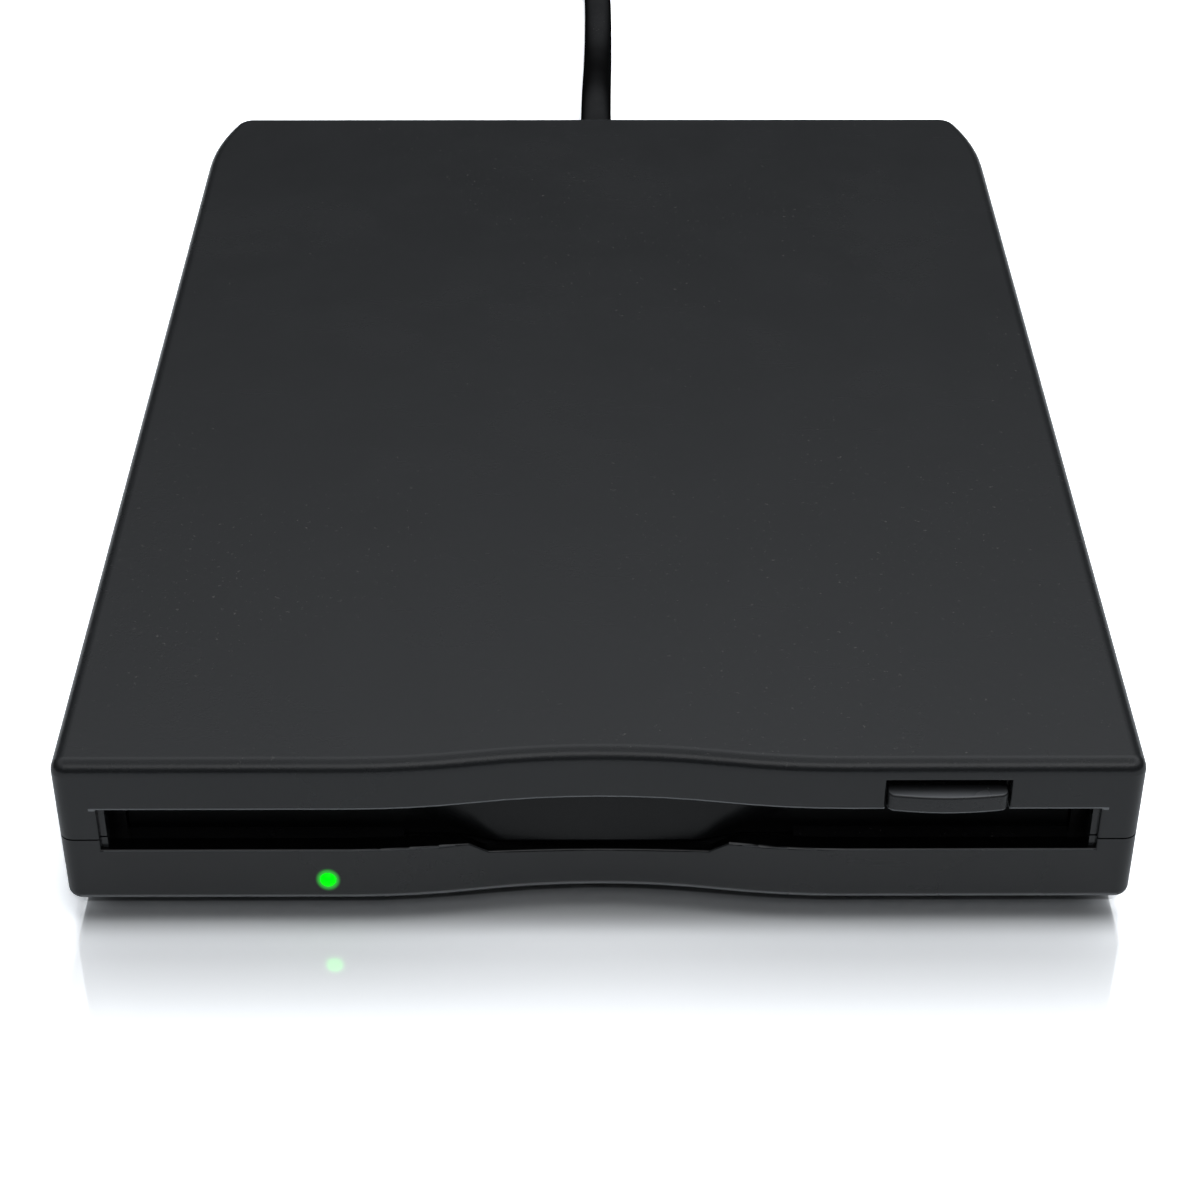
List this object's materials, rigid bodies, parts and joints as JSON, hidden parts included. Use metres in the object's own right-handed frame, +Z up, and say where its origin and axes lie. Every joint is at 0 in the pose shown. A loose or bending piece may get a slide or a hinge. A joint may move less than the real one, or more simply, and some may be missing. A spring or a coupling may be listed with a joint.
{
  "type": "external floppy disk drive",
  "caption": "Slim external 3.5 inch floppy disk drive with a wavy front, dust flap, eject button, green activity light and a captive USB lead.",
  "frame": {"origin": "bottom centre of the case, on the surface that the rubber feet stand on", "axes": "+Z up, -Y out of the front face with the disk slot, +X to the right seen from the front"},
  "size_m": [0.1067, 0.3033, 0.02],
  "materials": {
    "case_plastic": "fine moulded texture, satin black",
    "dark_plastic": "smooth black moulding",
    "button_plastic": "satin black",
    "flap_plastic": "satin black",
    "rubber": "matte black rubber",
    "screw_steel": "black zinc plated",
    "spring_steel": "drawn wire",
    "green_lens": "clear green lens, lit",
    "led_body": "milky resin",
    "circuit_board": "green solder mask",
    "zinc_sheet": "galvanised sheet",
    "bright_sheet": "nickel plated sheet",
    "white_plastic": "white acetal",
    "copper": "enamelled copper winding",
    "brass": "sintered bronze",
    "ferrite": "plastic bonded ferrite",
    "turned_steel": "turned and polished steel",
    "die_cast": "die cast",
    "head_ceramic": "polished ceramic",
    "chip_resin": "black moulding resin",
    "capacitor_ceramic": "tan ceramic",
    "flex_film": "white film cable",
    "cable_jacket": "satin black jacket",
    "wire_insulation": "coloured insulation",
    "tie_plastic": "black strap",
    "plug_plastic": "moulded black grip",
    "plug_steel": "nickel plated steel",
    "gold_contacts": "gold plated"
  },
  "bodies": {
    "case": {"upper_shell": "case_plastic", "lower_shell": "case_plastic", "rubber_feet": "rubber", "case_screws": "screw_steel", "mechanism_screws": "screw_steel", "inner_bezel": "dark_plastic", "led_lens": "green_lens", "status_led": "led_body", "led_board": "circuit_board", "chassis": "zinc_sheet", "mechanism_cover": "zinc_sheet", "eject_springs": "spring_steel", "flap_spring": "spring_steel", "motor_board": "circuit_board", "stator_coils": "copper", "spindle_bearing": "brass", "guide_rod": "turned_steel", "rod_clamps": "dark_plastic", "stepper_motor": "zinc_sheet", "screw_bearing": "dark_plastic", "switch_bodies": "dark_plastic", "control_board": "circuit_board", "control_chip": "chip_resin", "board_capacitors": "capacitor_ceramic", "bridge_board": "circuit_board", "bridge_chip": "chip_resin", "crystal": "bright_sheet", "ribbon_cable": "flex_film", "ribbon_sockets": "white_plastic", "strain_relief": "cable_jacket", "lead_wires": "wire_insulation", "usb_cable": "cable_jacket", "usb_cable_coil": "cable_jacket", "cable_tie": "tie_plastic", "usb_cable_tail": "cable_jacket", "plug_overmould": "plug_plastic", "plug_shell": "plug_steel", "plug_tongue": "white_plastic", "plug_contacts": "gold_contacts"},
    "eject_slide": {"eject_button": "button_plastic", "slide_plate": "bright_sheet"},
    "cradle": {"disk_cradle": "bright_sheet", "lever_pivot": "screw_steel"},
    "shutter_lever": {"shutter_lever": "white_plastic"},
    "dust_flap": {"dust_flap": "flap_plastic"},
    "spindle": {"spindle_rotor": "bright_sheet", "rotor_magnet": "ferrite", "spindle_hub": "turned_steel", "drive_pin": "turned_steel"},
    "carriage": {"head_carriage": "die_cast", "lower_head": "head_ceramic", "arm_pivot_pin": "turned_steel", "arm_spring": "spring_steel"},
    "head_arm": {"upper_head_arm": "white_plastic", "upper_head": "head_ceramic"},
    "lead_screw": {"lead_screw": "turned_steel"},
    "disk_plunger": {"plunger_disk_in": "white_plastic"},
    "protect_plunger": {"plunger_write_protect": "white_plastic"},
    "density_plunger": {"plunger_density": "white_plastic"}
  },
  "joints": [
    {"name": "eject_slide", "type": "slide", "parent": "case", "child": "eject_slide", "axis": [0, -1, 0], "range_m": [0, 0.004], "deforming": ["eject_springs"]},
    {"name": "cradle_drop", "type": "slide", "parent": "case", "child": "cradle", "axis": [0, 0, -1], "range_m": [0, 0.002]},
    {"name": "shutter_swing", "type": "hinge", "parent": "cradle", "child": "shutter_lever", "pos_m": [-0.041, 0.018, 0.0135], "axis": [0, 0, 1], "range_deg": [0, 58], "stiffness_Nm_per_rad": 0.002, "springref_deg": -8.59},
    {"name": "flap_swing", "type": "hinge", "parent": "case", "child": "dust_flap", "pos_m": [0, -0.0665, 0.0159], "axis": [1, 0, 0], "range_deg": [0, 88], "stiffness_Nm_per_rad": 0.0015, "springref_deg": -17.19, "deforming": ["flap_spring"]},
    {"name": "spindle_spin", "type": "hinge", "parent": "case", "child": "spindle", "pos_m": [0, -0.021, 0.0069], "axis": [0, 0, 1], "continuous": true},
    {"name": "head_seek", "type": "slide", "parent": "case", "child": "carriage", "axis": [0, 1, 0], "range_m": [-0.0148, 0]},
    {"name": "head_arm_lift", "type": "hinge", "parent": "carriage", "child": "head_arm", "pos_m": [0, 0.041, 0.0145], "axis": [1, 0, 0], "range_deg": [0, 9.4], "deforming": ["arm_spring"]},
    {"name": "lead_screw_turn", "type": "hinge", "parent": "case", "child": "lead_screw", "pos_m": [0.015, 0.035, 0.0108], "axis": [0, 1, 0], "range_deg": [-2665, 1]},
    {"name": "disk_plunger_press", "type": "slide", "parent": "case", "child": "disk_plunger", "axis": [0, 0, -1], "range_m": [0, 0.0011], "stiffness_N_per_m": 300, "springref_m": -0.0003},
    {"name": "protect_plunger_press", "type": "slide", "parent": "case", "child": "protect_plunger", "axis": [0, 0, -1], "range_m": [0, 0.0011], "stiffness_N_per_m": 300, "springref_m": -0.0003},
    {"name": "density_plunger_press", "type": "slide", "parent": "case", "child": "density_plunger", "axis": [0, 0, -1], "range_m": [0, 0.0011], "stiffness_N_per_m": 300, "springref_m": -0.0003}
  ],
  "couplings": [
    {"joint": "cradle_drop", "follows": "eject_slide", "ratio": 0.5},
    {"joint": "head_arm_lift", "follows": "eject_slide", "rad_per_m": 40.579},
    {"joint": "lead_screw_turn", "follows": "head_seek", "rad_per_m": 3141.6}
  ]
}
